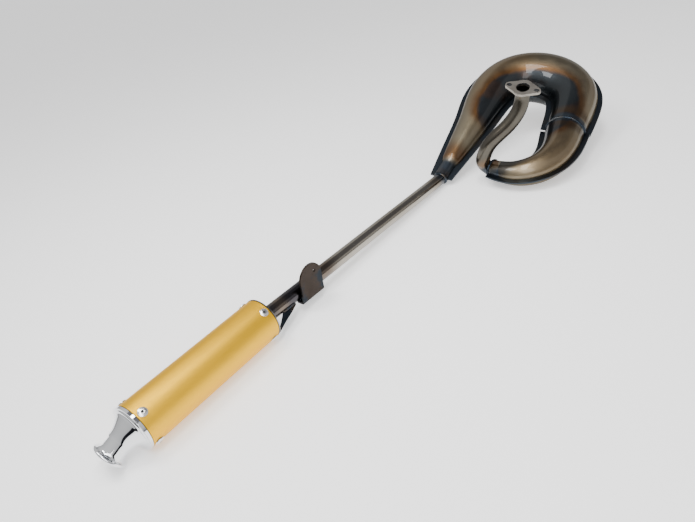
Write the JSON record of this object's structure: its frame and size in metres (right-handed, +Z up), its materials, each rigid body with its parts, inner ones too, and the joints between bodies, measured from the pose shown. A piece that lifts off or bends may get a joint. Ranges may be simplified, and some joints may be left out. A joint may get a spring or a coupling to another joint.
{
  "type": "racing exhaust system",
  "caption": "Two-stroke racing exhaust: oval port flange, curled header, stamped loop chamber, straight tail pipe with hanger plate, and riveted silencer with turned-down outlet.",
  "frame": {"origin": "centre of the bounding box in plan, on the floor that the exhaust rests on", "axes": "+Z up with the exhaust lying as in its rest pose, +X along the tail pipe from the silencer to the chamber"},
  "size_m": [1.097, 0.274, 0.1801],
  "materials": {
    "lacquered_steel_tan": "clear-lacquered, heat tinted",
    "header_steel": "satin",
    "flange_steel": "satin",
    "tail_pipe_steel": "polished",
    "blued_weld_steel": "heat blued",
    "heat_browned_steel": "heat browned",
    "gold_anodised_aluminium": "satin gold anodised",
    "chrome": "mirror",
    "rivet_aluminium": "satin",
    "packing_wool": "loose wool"
  },
  "bodies": {
    "root": {"port_flange": "flange_steel", "header_flange_weld": "header_steel", "header_pipe": "header_steel", "header_diffuser_weld": "blued_weld_steel", "diffuser_shell_near": "lacquered_steel_tan", "diffuser_shell_far": "lacquered_steel_tan", "girth_weld_near": "blued_weld_steel", "girth_weld_far": "blued_weld_steel", "chamber_shell_near": "lacquered_steel_tan", "chamber_shell_far": "lacquered_steel_tan", "stinger_weld": "blued_weld_steel", "tail_pipe": "tail_pipe_steel", "mounting_bracket": "heat_browned_steel", "bracket_weld_rear": "blued_weld_steel", "bracket_weld_front": "blued_weld_steel", "gusset_plate": "heat_browned_steel", "gusset_weld_pipe": "blued_weld_steel", "gusset_weld_cap": "blued_weld_steel", "inlet_weld_collar": "blued_weld_steel", "silencer_inlet_cap": "header_steel", "silencer_sleeve": "gold_anodised_aluminium", "perforated_core": "header_steel", "silencer_packing": "packing_wool", "outlet_cap": "chrome", "outlet_tip": "chrome", "inlet_rivet_1": "rivet_aluminium", "outlet_rivet_1": "rivet_aluminium", "inlet_rivet_2": "rivet_aluminium", "outlet_rivet_2": "rivet_aluminium", "inlet_rivet_3": "rivet_aluminium", "outlet_rivet_3": "rivet_aluminium", "inlet_rivet_4": "rivet_aluminium", "outlet_rivet_4": "rivet_aluminium"}
  },
  "joints": []
}
